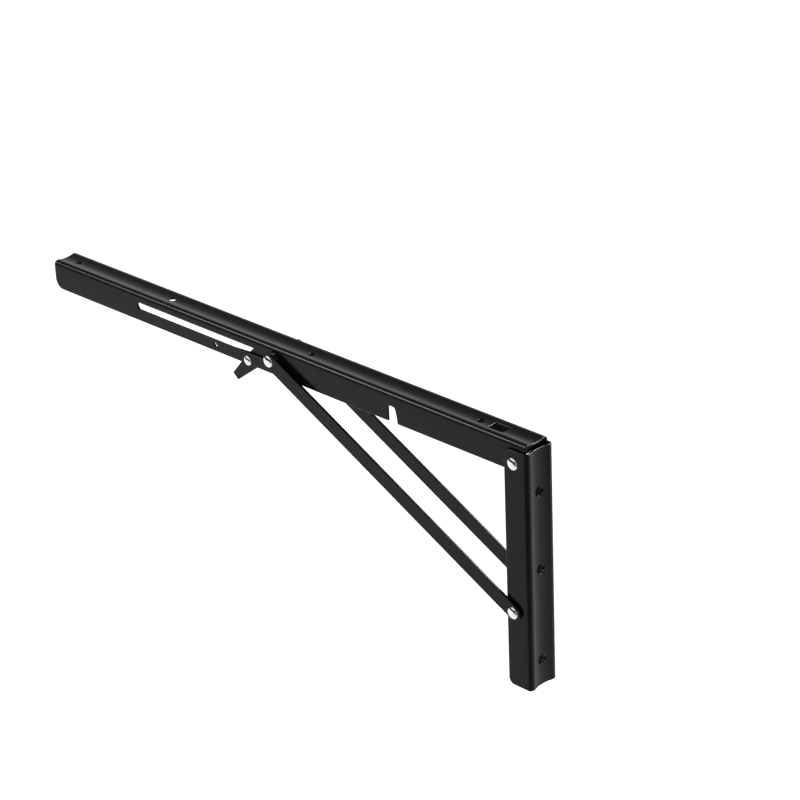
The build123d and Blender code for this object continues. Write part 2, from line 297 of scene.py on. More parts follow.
def round_corner(cutter, corner_x, corner_z, radius):
    """Rounds a cutter's edge that runs along Y, at one corner of its side view."""
    take(cutter)
    bpy.ops.object.mode_set(mode="EDIT")
    pick(cutter, lambda place: abs(place.x - corner_x) < NEAR and abs(place.z - corner_z) < NEAR, "EDGE")
    bpy.ops.mesh.bevel(offset=radius, segments=CORNER_STEPS, affect="EDGES", clamp_overlap=False)
    bpy.ops.object.mode_set(mode="OBJECT")
    return cutter


def punch(piece, cutter, operation="DIFFERENCE"):
    """Cuts a piece with a cutter, or keeps only what lies inside it, and throws the cutter away."""
    apply_modifier(piece, "BOOLEAN", object=cutter, operation=operation, solver="EXACT")
    bpy.data.objects.remove(cutter)


def paint_edges(piece, width=PAINT_ROUND, segments=3):
    """Rounds every sharp edge a little, as paint does, and shades the rest smooth."""
    take(piece)
    bpy.ops.object.mode_set(mode="EDIT")
    bpy.ops.mesh.select_all(action="SELECT")
    bpy.ops.mesh.remove_doubles(threshold=SLIVER)
    bpy.ops.object.mode_set(mode="OBJECT")
    bpy.ops.object.shade_smooth_by_angle(angle=SMOOTH_BELOW)
    apply_modifier(piece, "BEVEL", width=width, segments=segments, limit_method="ANGLE",
                   angle_limit=SHARP_ABOVE, use_clamp_overlap=False, harden_normals=True)
    print(piece.name, len(piece.data.polygons), "faces")


# %% [markdown]
# ## The shelf arm
#
# The arm carries the shelf on its web. Its flanges have the long slot that the sliding pin runs in, the notch
# that takes the foot rivet when the arm is folded, and a small hole for the latch spring's end. The square
# window in the web uncovers the top wall screw when the arm hangs folded. All these places follow from the
# pivots, as they do in the model.

# %% Fold the arm
arm_low, arm_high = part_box("shelf_arm")
arm_width = arm_high.y - arm_low.y
arm_depth = arm_high.z - arm_low.z
across = 4 * arm_width

arm = draw_section("folded_arm", arm_width, arm_depth, ARM_DISH)
arm = pull_out(arm, arm_high.x - arm_low.x)
bpy.ops.transform.translate(value=(arm_high.x, 0, arm_high.z))
settle(arm)

# %% Punch the arm
ARM_END_CORNER = 8.0 * MM
PIVOT_FROM_WALL = -corner.x
WALL_GAP = -arm_high.x
SLOT_RADIUS = 3.1 * MM
SLOT_END_CLEARANCE = 0.6 * MM
WINDOW = Vector((13.4, 8.8, 0)) * MM
WINDOW_PAST_SCREW = 1.7 * MM
SPRING_HOLE = Vector((-35.2, 0, 2.1)) * MM
SPRING_HOLE_RADIUS = 1.6 * MM

for place in shelf_holes:
    punch(arm, round_cutter("shelf_hole", place, SHELF_HOLE_RADIUS, arm_depth, "Z"))

top_wall_hole = max(wall_holes, key=lambda place: place.z)
window_middle = Vector((corner.x - (corner.z - top_wall_hole.z) - WINDOW_PAST_SCREW, 0, arm_high.z))
through_web = arm_depth / 3
window_reach = WINDOW / 2 + Vector((0, 0, through_web))
punch(arm, box_cutter("window", window_middle - window_reach, window_middle + window_reach))

stud_low, stud_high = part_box("front_slide_stud")
stud_open = (stud_low + stud_high) / 2
stud_open.y = 0
stud_reach = (stud_high.x - stud_low.x) / 2 + SLOT_END_CLEARANCE - SLOT_RADIUS
stud_folded = stud_open - Vector((joints["stud_slide"]["range_m"][1], 0, 0))
punch(arm, slot_cutter("slot", stud_open + Vector((stud_reach, 0, 0)),
                       stud_folded - Vector((stud_reach, 0, 0)), SLOT_RADIUS, across))
punch(arm, round_cutter("spring_hole", Vector((latch.x, 0, latch.z)) + SPRING_HOLE,
                        SPRING_HOLE_RADIUS, across, "Y"))
print("slot from", stud_open.x, "to", stud_folded.x)

# %% [markdown]
# The notch is a plate with one upright side and one flared, bulging side, and with rounded corners at its
# roof. A straight box gives the upright side. A cut at half its height gives an edge for the bulge, and
# moving one of its lower edges gives the flare. Bevels then turn the corners and the bulge into arcs.

# %% Cut the notch
RIVET_SHANK_RADIUS = 2.5 * MM
NOTCH_SIDE_CLEARANCE = 1.7 * MM
NOTCH_ROOF_CLEARANCE = 2.3 * MM
NOTCH_ROOF_HALF = 2.2 * MM
NOTCH_FLARE = 4.7 * MM
NOTCH_BULGE = 0.55 * MM
NOTCH_CORNER = 0.8 * MM
NOTCH_FLARE_CORNER = 1.4 * MM
NOTCH_BELLY = 3.5 * MM

folded_pin_x = corner.x - (corner.z - foot.z)
folded_pin_z = corner.z + corner.x - foot.x
notch_left = folded_pin_x - RIVET_SHANK_RADIUS - NOTCH_SIDE_CLEARANCE
notch_right = folded_pin_x + NOTCH_ROOF_HALF
notch_roof = folded_pin_z + RIVET_SHANK_RADIUS + NOTCH_ROOF_CLEARANCE
middle_height = (arm_low.z + notch_roof) / 2
flare_step = NOTCH_FLARE - NOTCH_ROOF_HALF
belly_step = flare_step / 2 + NOTCH_BULGE
below_arm = arm_depth / 4
notch = box_cutter("notch", Vector((notch_left, -across / 2, arm_low.z)),
                   Vector((notch_right, across / 2, notch_roof)))
take(notch)
bpy.ops.object.mode_set(mode="EDIT")
bpy.ops.mesh.select_all(action="SELECT")
bpy.ops.mesh.bisect(plane_co=(0, 0, middle_height), plane_no=(0, 0, 1))
pick(notch, lambda place: abs(place.z - middle_height) < NEAR and abs(place.x - notch_right) < NEAR)
bpy.ops.transform.translate(value=(belly_step, 0, 0))
pick(notch, lambda place: abs(place.z - arm_low.z) < NEAR and abs(place.x - notch_right) < NEAR)
bpy.ops.transform.translate(value=(flare_step, 0, 0))
pick(notch, lambda place: place.z < arm_low.z + NEAR)
bpy.ops.mesh.extrude_region_move(TRANSFORM_OT_translate={"value": (0, 0, -below_arm)})
bpy.ops.object.mode_set(mode="OBJECT")
round_corner(notch, notch_left, notch_roof, NOTCH_CORNER)
round_corner(notch, notch_right, notch_roof, NOTCH_FLARE_CORNER)
round_corner(notch, notch_right + belly_step, middle_height, NOTCH_BELLY)
punch(arm, notch)
print("notch from", notch_left, "to", notch_right, "roof at", notch_roof)

# %% [markdown]
# The arm's outline is trimmed the other way round: what lies inside a big side plate is kept, and that plate
# has the rounded corner. A second plate is round about the corner pivot, so that the arm's upper end clears
# the wall all the way down.

# %% Trim the arm's ends
beyond = arm_depth
keep = box_cutter("arm_outline", Vector((arm_low.x, -across / 2, arm_low.z)),
                  Vector((beyond, across / 2, arm_high.z + beyond)))
punch(arm, round_corner(keep, arm_low.x, arm_low.z, ARM_END_CORNER), "INTERSECT")
swing = round_cutter("swing", Vector((corner.x, 0, corner.z)), PIVOT_FROM_WALL - WALL_GAP, across, "Y")
take(swing)
bpy.ops.object.mode_set(mode="EDIT")
pick(swing, lambda place: place.z > corner.z - NEAR)
bpy.ops.transform.translate(value=(0, 0, arm_depth))
pick(swing, lambda place: place.x < corner.x + NEAR)
bpy.ops.transform.translate(value=(arm_low.x - beyond, 0, 0))
bpy.ops.object.mode_set(mode="OBJECT")
punch(arm, swing, "INTERSECT")
paint_edges(arm)
print("arm box", [round(value / MM, 2) for value in arm.dimensions], "mm")

# %% [markdown]
# ## The wall leg
#
# The leg is the same kind of channel, wider and with a deeper dish, and stands upright with its web on the
# wall. It is folded lying down like the arm, punched, and then turned a quarter about Y so that its web faces
# the wall and its free edges face away from it.

# %% Fold and punch the leg
LEG_TOP_CORNER = 4.5 * MM
LEG_FOOT_CORNER = 5.0 * MM

leg_low, leg_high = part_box("wall_leg")
leg_width = leg_high.y - leg_low.y
leg_depth = leg_high.x - leg_low.x
leg_length = leg_high.z - leg_low.z
leg = draw_section("folded_leg", leg_width, leg_depth, LEG_DISH)
leg = pull_out(leg, leg_length)
take(leg)
leg.rotation_euler = (0, pi / 2, 0)
leg.location = (0, 0, leg_low.z)
settle(leg)
print("leg box", [round(value / MM, 2) for value in leg.dimensions], "mm")

for place in wall_holes:
    punch(leg, round_cutter("wall_hole", place, WALL_HOLE_RADIUS, leg_depth, "X"))
keep = box_cutter("leg_outline", Vector((leg_low.x, -across / 2, leg_low.z)),
                  Vector((beyond, across / 2, leg_high.z)))
keep = round_corner(keep, leg_low.x, leg_low.z, LEG_FOOT_CORNER)
keep = round_corner(keep, leg_low.x, leg_high.z, LEG_TOP_CORNER)
punch(leg, keep, "INTERSECT")
paint_edges(leg)

# %% [markdown]
# ## The brace straps
#
# Each strap is flat bar with round ends, sheared and then painted. A circle is filled, its far half is moved
# to the other rivet, and the plate is extruded to its thickness. Only its edges need care: the paint rounds
# them enough to catch a thin line of light.

# %% Make the straps
STRAP_WIDTH = 12.3 * MM
STRAP_ROUND = 0.45 * MM
STRAP_END_STEPS = 64

strap_way = Vector((stud_open.x - foot.x, 0, stud_open.z - foot.z))


def make_strap(side):
    node_low, node_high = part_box(side + "_strap")
    let_go()
    bpy.ops.mesh.primitive_circle_add(vertices=STRAP_END_STEPS, radius=STRAP_WIDTH / 2, fill_type="NGON",
                                      rotation=(pi / 2, 0, 0))
    strap = new_piece(side + "_brace_strap")
    settle(strap)
    bpy.ops.object.mode_set(mode="EDIT")
    pick(strap, lambda place: place.x < NEAR)
    bpy.ops.transform.translate(value=(-strap_way.length, 0, 0))
    bpy.ops.mesh.select_all(action="SELECT")
    bpy.ops.mesh.extrude_region_move(TRANSFORM_OT_translate={"value": (0, node_high.y - node_low.y, 0)})
    bpy.ops.mesh.select_all(action="SELECT")
    bpy.ops.mesh.normals_make_consistent(inside=False)
    bpy.ops.object.mode_set(mode="OBJECT")
    strap.rotation_euler = (0, atan2(strap_way.z, -strap_way.x), 0)
    strap.location = (foot.x, node_low.y, foot.z)
    settle(strap)
    paint_edges(strap, STRAP_ROUND)
    return strap


straps = {side: make_strap(side) for side in ("front", "rear")}

# %% [markdown]
# ## The rivets
#
# The rivets are turned from steel, nickel plated and set in a press, so a head has a short upright rim, a
# rounded lip and a low dome. Bright domes show the studio in small, so they need many smooth faces. The head
# is a filled circle, extruded up its rim and then inwards in rings that follow the dome's arc.

# %% A turned rivet head
HEAD_STEPS = 64
HEAD_RIM = 0.5 * MM
HEAD_DOME = 1.0 * MM
LIP = 0.2 * MM
LIP_STEPS = 4
DOME_RINGS = 10
ROUND_SMOOTH = radians(40)


def rivet_head(name, radius):
    """A head standing on the plane Y = 0 and bulging towards -Y, with its middle at the origin."""
    let_go()
    bpy.ops.mesh.primitive_circle_add(vertices=HEAD_STEPS, radius=radius, fill_type="NGON")
    head = new_piece(name)
    bpy.ops.object.mode_set(mode="EDIT")
    bpy.ops.mesh.select_all(action="SELECT")
    bpy.ops.mesh.extrude_region_move(TRANSFORM_OT_translate={"value": (0, 0, HEAD_RIM)})
    dome_radius = (radius ** 2 + HEAD_DOME ** 2) / (2 * HEAD_DOME)
    ring, height = radius, 0.0
    for step in range(1, DOME_RINGS + 1):
        next_ring = radius * cos(step / (DOME_RINGS + 1) * pi / 2)
        next_height = sqrt(dome_radius ** 2 - next_ring ** 2) - (dome_radius - HEAD_DOME)
        bpy.ops.mesh.extrude_region_move(TRANSFORM_OT_translate={"value": (0, 0, next_height - height)})
        bpy.ops.transform.resize(value=(next_ring / ring, next_ring / ring, 1))
        ring, height = next_ring, next_height
    bpy.ops.mesh.select_all(action="SELECT")
    bpy.ops.mesh.normals_make_consistent(inside=False)
    bpy.ops.mesh.select_mode(type="EDGE")
    bpy.ops.object.mode_set(mode="OBJECT")
    bpy.ops.object.shade_smooth_by_angle(angle=ROUND_SMOOTH)
    apply_modifier(head, "BEVEL", width=LIP, segments=LIP_STEPS, limit_method="ANGLE",
                   angle_limit=SHARP_ABOVE, use_clamp_overlap=False, harden_normals=True)
    head.rotation_euler = (pi / 2, 0, 0)
    settle(head)
    return head


# %% [markdown]
# A through rivet is two heads and the shank between them, and the sliding pin has one head on each strap.
# One head of each size is modelled, and every rivet gets its own copies, moved to their seats and joined to
# a shank.

# %% Put the rivets together
LATCH_SHANK_RADIUS = 2.0 * MM

head_patterns = {}


def head_copy(radius, place, side):
    """A copy of the head of that size, seated at a place and bulging towards side (-1 or 1)."""
    key = round(radius / MM, 2)
    if key not in head_patterns:
        head_patterns[key] = rivet_head("head_pattern", radius)
    copy = head_patterns[key].copy()
    copy.data = head_patterns[key].data.copy()
    bpy.context.scene.collection.objects.link(copy)
    if side > 0:
        copy.rotation_euler = (0, 0, pi)
    copy.location = place
    settle(copy)
    return copy


def make_rivet(node, name, sides, shank_radius):
    """A rivet in the place of a CAD node: a shank as long as the node, and a head at each side given."""
    low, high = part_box(node)
    middle = (low + high) / 2
    head_radius = (high.z - low.z) / 2
    height = HEAD_RIM + HEAD_DOME
    seats = {-1: low.y + height, 1: high.y - height}
    first = seats[-1] if -1 in sides else low.y
    last = seats[1] if 1 in sides else high.y
    parts = [head_copy(head_radius, Vector((middle.x, seats[side], middle.z)), side) for side in sides]
    shank_middle = Vector((middle.x, (first + last) / 2, middle.z))
    shank = round_cutter(name, shank_middle, shank_radius, last - first, "Y")
    bpy.ops.object.shade_smooth_by_angle(angle=ROUND_SMOOTH)
    take(shank)
    for part in parts:
        part.select_set(True)
    bpy.ops.object.join()
    print(name, "head", round(2 * head_radius / MM, 1), "mm, length", round((high.y - low.y) / MM, 1), "mm")
    return shank


rivets = {
    "corner_rivet": make_rivet("corner_rivet", "corner_pin", (-1, 1), RIVET_SHANK_RADIUS),
    "foot_rivet": make_rivet("foot_rivet", "foot_pin", (-1, 1), RIVET_SHANK_RADIUS),
    "latch_rivet": make_rivet("latch_rivet", "latch_pin", (-1, 1), LATCH_SHANK_RADIUS),
    "front_strap_rivet": make_rivet("front_strap_rivet", "front_slide_pin", (-1,), RIVET_SHANK_RADIUS),
    "rear_strap_rivet": make_rivet("rear_strap_rivet", "rear_slide_pin", (1,), RIVET_SHANK_RADIUS),
}
for pattern in head_patterns.values():
    bpy.data.objects.remove(pattern)

# %% [markdown]
# ## The latch lever
#
# The lever is stamped from plate, tumbled and painted with the rest. Its outline is the model's own, with the
# hook's arc and the tab, so a copy of that mesh is used: its loose triangles are merged, the flat faces are
# joined again, and the edges get the same paint round as the channels.

# %% Round the lever
FLAT_WITHIN = radians(1)

lever = frame["nodes"]["latch_lever"].copy()
lever.data = lever.data.copy()
lever.name = "release_lever"
lever.parent = None
bpy.context.scene.collection.objects.link(lever)
for key in list(lever.keys()):
    if key.startswith("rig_"):
        del lever[key]
take(lever)
bpy.ops.object.mode_set(mode="EDIT")
bpy.ops.mesh.select_all(action="SELECT")
bpy.ops.mesh.remove_doubles(threshold=NEAR)
bpy.ops.mesh.dissolve_limited(angle_limit=FLAT_WITHIN)
bpy.ops.object.mode_set(mode="OBJECT")
bpy.ops.mesh.customdata_custom_splitnormals_clear()
paint_edges(lever)

# %% [markdown]
# ## Materials
#
# Every colour below is written as the hex value a paint or metal chart would give. Screens store colours
# with a curve, and the renderer works without it, so one function takes that curve off. A second small
# function adds a node with its settings and links, and it is the only way that nodes are added.

# %% Colour and node helpers
def linear(hex_colour):
    """An sRGB hex colour as the renderer's linear red, green, blue and full alpha."""
    parts = [int(hex_colour[start:start + 2], 16) / 255 for start in (1, 3, 5)]
    curved = (part / 12.92 if part <= 0.04045 else ((part + 0.055) / 1.055) ** 2.4 for part in parts)
    return (*curved, 1.0)


def add_node(tree, kind, values=None, links=None, **settings):
    """Adds a node, sets its own settings and socket values, and links sockets from other nodes."""
    node = tree.nodes.new(kind)
    for name, value in settings.items():
        setattr(node, name, value)
    for name, value in (values or {}).items():
        node.inputs[name].default_value = value
    for name, source in (links or {}).items():
        tree.links.new(source, node.inputs[name])
    return node


def start_material(name):
    """A material with an empty node tree, its output and the object's own coordinates."""
    material = bpy.data.materials.new(name)
    material.use_nodes = True
    tree = material.node_tree
    tree.nodes.clear()
    place = add_node(tree, "ShaderNodeTexCoord").outputs["Object"]
    output = add_node(tree, "ShaderNodeOutputMaterial")
    return material, tree, place, output


def per_metre(size_mm):
    """The scale of a noise whose grains are about that many millimetres across."""
    return 1 / (size_mm * MM)


# %% [markdown]
# ### Black powder coat
#
# Polyester powder is sprayed on dry and melted in an oven. It flows out to a satin skin with a faint orange
# peel, about a millimetre from bump to bump, and it is not quite the same gloss everywhere. Its colour is a
# deep neutral black, so nearly all that the eye sees is reflection. The IOR is that of polyester, and a low
# specular level keeps the reflection weak face on and strong at a glancing angle, which is what makes the
# dish glow while the flange stays dark.

# %% Mix the powder coat
ORANGE_PEEL = 1.1
OVEN_CLOUD = 22


def black_powder_coat():
    material, tree, place, output = start_material("black_powder_coat")
    peel = add_node(tree, "ShaderNodeTexNoise",
                    {"Scale": per_metre(ORANGE_PEEL), "Detail": 2.0, "Roughness": 0.45}, {"Vector": place})
    cloud = add_node(tree, "ShaderNodeTexNoise", {"Scale": per_metre(OVEN_CLOUD), "Detail": 3.0},
                     {"Vector": place})
    tint = add_node(tree, "ShaderNodeValToRGB", None, {"Fac": cloud.outputs["Fac"]})
    tint.color_ramp.elements[0].position = 0.35
    tint.color_ramp.elements[0].color = linear("#08080a")
    tint.color_ramp.elements[1].position = 0.65
    tint.color_ramp.elements[1].color = linear("#0c0c0d")
    gloss = add_node(tree, "ShaderNodeMapRange",
                     {"From Min": 0.3, "From Max": 0.7, "To Min": 0.20, "To Max": 0.24},
                     {"Value": cloud.outputs["Fac"]})
    bump = add_node(tree, "ShaderNodeBump", {"Strength": 0.03, "Distance": 0.02 * MM},
                    {"Height": peel.outputs["Fac"]})
    paint = add_node(tree, "ShaderNodeBsdfPrincipled", {"IOR": 1.5, "Specular IOR Level": 0.16},
                     {"Base Color": tint.outputs["Color"], "Roughness": gloss.outputs["Result"],
                      "Normal": bump.outputs["Normal"]})
    tree.links.new(paint.outputs["BSDF"], output.inputs["Surface"])
    return material


# %% [markdown]
# Inside a folded channel the charged powder hardly reaches the metal, because it settles on the edges first.
# The coat there is thin, dry and dull, so it gets a rough surface and nearly no shine. Its black is also
# painted a little lighter than the outer coat's: that is painted light, standing in for the light that
# reaches the inner faces through the channel's open side. Solidify has given the inner faces the second
# material slot for it.

# %% Mix the thin coat inside the channels, painted lighter as painted light
DRY_SPRAY = 0.5


def thin_coat_with_painted_light():
    material, tree, place, output = start_material("thin_inside_powder_coat_painted_light")
    grain = add_node(tree, "ShaderNodeTexNoise", {"Scale": per_metre(DRY_SPRAY), "Detail": 3.0},
                     {"Vector": place})
    # This black is painted lighter than the outer coat's, as painted light on the faces inside the channel.
    tint = add_node(tree, "ShaderNodeValToRGB", None, {"Fac": grain.outputs["Fac"]})
    tint.color_ramp.elements[0].color = linear("#101011")
    tint.color_ramp.elements[1].color = linear("#171718")
    bump = add_node(tree, "ShaderNodeBump", {"Strength": 0.3, "Distance": 0.02 * MM},
                    {"Height": grain.outputs["Fac"]})
    coat = add_node(tree, "ShaderNodeBsdfPrincipled",
                    {"IOR": 1.5, "Specular IOR Level": 0.1, "Roughness": 0.7},
                    {"Base Color": tint.outputs["Color"], "Normal": bump.outputs["Normal"]})
    tree.links.new(coat.outputs["BSDF"], output.inputs["Surface"])
    return material


# %% [markdown]
# ### Nickel-plated rivets
#
# The heads are turned and then plated bright, so fine rings run round each head under the mirror. On the
# model they are rings about the rivet's own axis, which runs along Y, and coarser than a tool's real feed,
# which would be too fine to show. The plating is a neutral, very light grey and stays sharp enough to show
# the edge of the floor.

# %% Plate the rivets
TURNING_RINGS = 6.0
PLATE_HAZE = 2.5


def bright_nickel(centre):
    material, tree, place, output = start_material("bright_nickel_plate")
    centred = add_node(tree, "ShaderNodeMapping", {"Location": (-centre.x, 0, -centre.z)}, {"Vector": place},
                       vector_type="POINT")
    rings = add_node(tree, "ShaderNodeTexWave",
                     {"Scale": per_metre(TURNING_RINGS), "Distortion": 0.6, "Detail": 1.0},
                     {"Vector": centred.outputs["Vector"]}, wave_type="RINGS", rings_direction="Y")
    haze = add_node(tree, "ShaderNodeTexNoise", {"Scale": per_metre(PLATE_HAZE), "Detail": 3.0},
                    {"Vector": place})
    gloss = add_node(tree, "ShaderNodeMapRange",
                     {"From Min": 0.3, "From Max": 0.7, "To Min": 0.05, "To Max": 0.10},
                     {"Value": haze.outputs["Fac"]})
    bump = add_node(tree, "ShaderNodeBump", {"Strength": 0.08, "Distance": 0.01 * MM},
                    {"Height": rings.outputs["Fac"]})
    metal = add_node(tree, "ShaderNodeBsdfPrincipled", {"Base Color": linear("#ececed"), "Metallic": 1.0},
                     {"Roughness": gloss.outputs["Result"], "Normal": bump.outputs["Normal"]})
    tree.links.new(metal.outputs["BSDF"], output.inputs["Surface"])
    return material


# %% [markdown]
# ### Zinc plate, nylon and spring wire
#
# The collars and sleeves are zinc plated: a greyer, duller metal with a cloudy passivated skin. The thin
# washers are black nylon, matt and slightly grainy. The spring is hard-drawn steel wire, left oiled and dark,
# with fine draw lines that a stretched noise stands for.

# %% Mix the small finishes
ZINC_CLOUD = 3
MOULD_GRAIN = 0.4
DRAW_LINES = 0.3


def zinc_plate():
    material, tree, place, output = start_material("zinc_plated_steel")
    cloud = add_node(tree, "ShaderNodeTexNoise", {"Scale": per_metre(ZINC_CLOUD), "Detail": 4.0},
                     {"Vector": place})
    tint = add_node(tree, "ShaderNodeValToRGB", None, {"Fac": cloud.outputs["Fac"]})
    tint.color_ramp.elements[0].position = 0.3
    tint.color_ramp.elements[0].color = linear("#a3a6aa")
    tint.color_ramp.elements[1].position = 0.7
    tint.color_ramp.elements[1].color = linear("#bcbfc2")
    gloss = add_node(tree, "ShaderNodeMapRange", {"To Min": 0.28, "To Max": 0.42},
                     {"Value": cloud.outputs["Fac"]})
    metal = add_node(tree, "ShaderNodeBsdfPrincipled", {"Metallic": 1.0},
                     {"Base Color": tint.outputs["Color"], "Roughness": gloss.outputs["Result"]})
    tree.links.new(metal.outputs["BSDF"], output.inputs["Surface"])
    return material


def black_nylon():
    material, tree, place, output = start_material("moulded_black_nylon")
    grain = add_node(tree, "ShaderNodeTexNoise", {"Scale": per_metre(MOULD_GRAIN), "Detail": 3.0},
                     {"Vector": place})
    bump = add_node(tree, "ShaderNodeBump", {"Strength": 0.2, "Distance": 0.02 * MM},
                    {"Height": grain.outputs["Fac"]})
    tint = add_node(tree, "ShaderNodeValToRGB", None, {"Fac": grain.outputs["Fac"]})
    tint.color_ramp.elements[0].color = linear("#161616")
    tint.color_ramp.elements[1].color = linear("#202020")
    plastic = add_node(tree, "ShaderNodeBsdfPrincipled", {"IOR": 1.53, "Roughness": 0.55},
                       {"Base Color": tint.outputs["Color"], "Normal": bump.outputs["Normal"]})
    tree.links.new(plastic.outputs["BSDF"], output.inputs["Surface"])
    return material


def spring_wire():
    material, tree, place, output = start_material("drawn_spring_wire")
    stretched = add_node(tree, "ShaderNodeMapping", {"Scale": (0.2, 1.0, 1.0)}, {"Vector": place})
    lines = add_node(tree, "ShaderNodeTexNoise", {"Scale": per_metre(DRAW_LINES), "Detail": 2.0},
                     {"Vector": stretched.outputs["Vector"]})
    gloss = add_node(tree, "ShaderNodeMapRange", {"To Min": 0.22, "To Max": 0.4},
                     {"Value": lines.outputs["Fac"]})
    tint = add_node(tree, "ShaderNodeValToRGB", None, {"Fac": lines.outputs["Fac"]})
    tint.color_ramp.elements[0].color = linear("#5c5d60")
    tint.color_ramp.elements[1].color = linear("#7d7e82")
    metal = add_node(tree, "ShaderNodeBsdfPrincipled", {"Metallic": 1.0},
                     {"Base Color": tint.outputs["Color"], "Roughness": gloss.outputs["Result"]})
    tree.links.new(metal.outputs["BSDF"], output.inputs["Surface"])
    return material


# %% [markdown]
# ## Dressing the pieces
#
# Each new piece takes the place of its CAD node and rides on the same body, so it moves with the fold. The
# CAD nodes that stay get their finish in their own material slots.

# %% Give every piece its finish and its body
def dress(piece, *finishes):
    """Gives a piece its finishes, one for each of its material slots."""
    wanted = [face.material_index for face in piece.data.polygons]
    piece.data.materials.clear()
    for finish in finishes:
        piece.data.materials.append(finish)
    for face, index in zip(piece.data.polygons, wanted):
        face.material_index = min(index, len(finishes) - 1)


def stand_for(piece, node, body, slot, *finishes):
    """A new piece that replaces a CAD node on the same body."""
    dress(piece, *finishes)
    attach(piece, body)
    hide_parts(node)


paint = black_powder_coat()
# The inside coat carries painted light: its black is lighter than the outer coat's.
inside_coat_painted_light = thin_coat_with_painted_light()
stand_for(arm, "shelf_arm", "arm", "black_powder_coat", paint, inside_coat_painted_light)
stand_for(leg, "wall_leg", "leg", "black_powder_coat", paint, inside_coat_painted_light)
stand_for(lever, "latch_lever", "latch", "black_powder_coat", paint)
for side, strap in straps.items():
    stand_for(strap, side + "_strap", "brace", "black_powder_coat", paint)

rivet_bodies = {"corner_rivet": "leg", "foot_rivet": "leg", "latch_rivet": "arm",
                "front_strap_rivet": "brace", "rear_strap_rivet": "brace"}
for node, body in rivet_bodies.items():
    low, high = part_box(node)
    stand_for(rivets[node], node, body, "polished_rivet_steel", bright_nickel((low + high) / 2))

kept = {
    "front_slide_stud": zinc_plate(),
    "front_slide_collar": zinc_plate(),
    "corner_sleeve": zinc_plate(),
    "latch_sleeve": zinc_plate(),
    "front_foot_washer": black_nylon(),
    "front_corner_washer": black_nylon(),
    "latch_spring": spring_wire(),
}
for node, material in kept.items():
    dress(frame["nodes"][node], material)
    twin = node.replace("front_", "rear_")
    if twin != node:
        dress(frame["nodes"][twin], material)
print(len(kept), "finishes on CAD nodes,", len(rivet_bodies), "turned rivets")

# %% [markdown]
# ## The studio
#
# The bracket is shown as a catalogue shows it: on white, from the right and a little above, with a long lens.
# The camera looks back along a line 45 degrees round and 26 degrees up, and is tipped by a small roll. A
# black object is drawn by what it reflects, so the room matters more than the lamps. The floor and the low
# horizon are pale, and the ceiling is dark. The arm's dish mirrors the horizon at its near side and the
# ceiling at its far side, the flanges mirror the floor at the left of the picture, and the leg's web mirrors
# it at the right. The front is -Y here, and the rear is +Y, as in the names of the straps.

# %% Place the camera
AZIMUTH = radians(45.05)
ELEVATION = radians(26.38)
ROLL = radians(2.394)
DISTANCE = 2138.7 * MM
TARGET = Vector((-133.33, 0, 95.9)) * MM
LENS = 135.0
SENSOR = 36.0
NEAREST = 0.1
FARTHEST = 50

back = Vector((sin(AZIMUTH) * cos(ELEVATION), -cos(AZIMUTH) * cos(ELEVATION), sin(ELEVATION)))
right = Vector((cos(AZIMUTH), sin(AZIMUTH), 0))
up = back.cross(right)
tipped_right = right * cos(ROLL) - up * sin(ROLL)
tipped_up = right * sin(ROLL) + up * cos(ROLL)

camera = bpy.data.objects.new("camera", bpy.data.cameras.new("camera"))
camera.data.lens = LENS
camera.data.sensor_width = SENSOR
camera.data.clip_start = NEAREST
camera.data.clip_end = FARTHEST
turned = Matrix((tipped_right, tipped_up, back)).transposed().to_4x4()
camera.matrix_world = Matrix.Translation(TARGET + back * DISTANCE) @ turned
bpy.context.scene.collection.objects.link(camera)
bpy.context.scene.camera = camera
print("camera at", tuple(TARGET + back * DISTANCE))

# %% [markdown]
# The floor is a plain white sheet, turned to face the camera. Its front and left edges show as dark streaks
# on the leg's bend and on the rivets' domes, so that its drop and its reach are chosen with care.

# %% Lay the floor
FLOOR_DROP = 0.62
FLOOR_FRONT = 0.82
FLOOR_REAR = 9.0
FLOOR_HALF = 3.1

let_go()
bpy.ops.mesh.primitive_plane_add(size=1)
floor = new_piece("floor")
floor.scale = (2 * FLOOR_HALF, FLOOR_FRONT + FLOOR_REAR, 1)
floor.rotation_euler = (0, 0, AZIMUTH)
flat_back = Vector((sin(AZIMUTH), -cos(AZIMUTH), 0))
floor_height = cad_low.z - FLOOR_DROP
floor.location = flat_back * (FLOOR_FRONT - FLOOR_REAR) / 2 + Vector((0, 0, floor_height))
settle(floor)
print("floor", tuple(floor.dimensions), "at height", floor_height)

# %% [markdown]
# A white floor that is lit evenly would wash the black paint out, so Light Path tells the rays apart. The
# camera sees the floor white, with the bracket's shadow on it. Reflections see it dimmer, but brighter
# towards the rear, which lifts the leg's web, and with a soft pool of light at the front left, which the
# rivets and the flanges mirror.

# %% Paint the floor
FLOOR_SEEN = 0.74
FLOOR_MIRRORED = 0.35
REAR_GAIN = 0.32
REAR_GAIN_FROM = -0.9
REAR_GAIN_TO = 0.2
POOL = 0.28
POOL_MIDDLE = Vector((-1.28, -1.25, floor_height))
POOL_RADIUS = 0.8

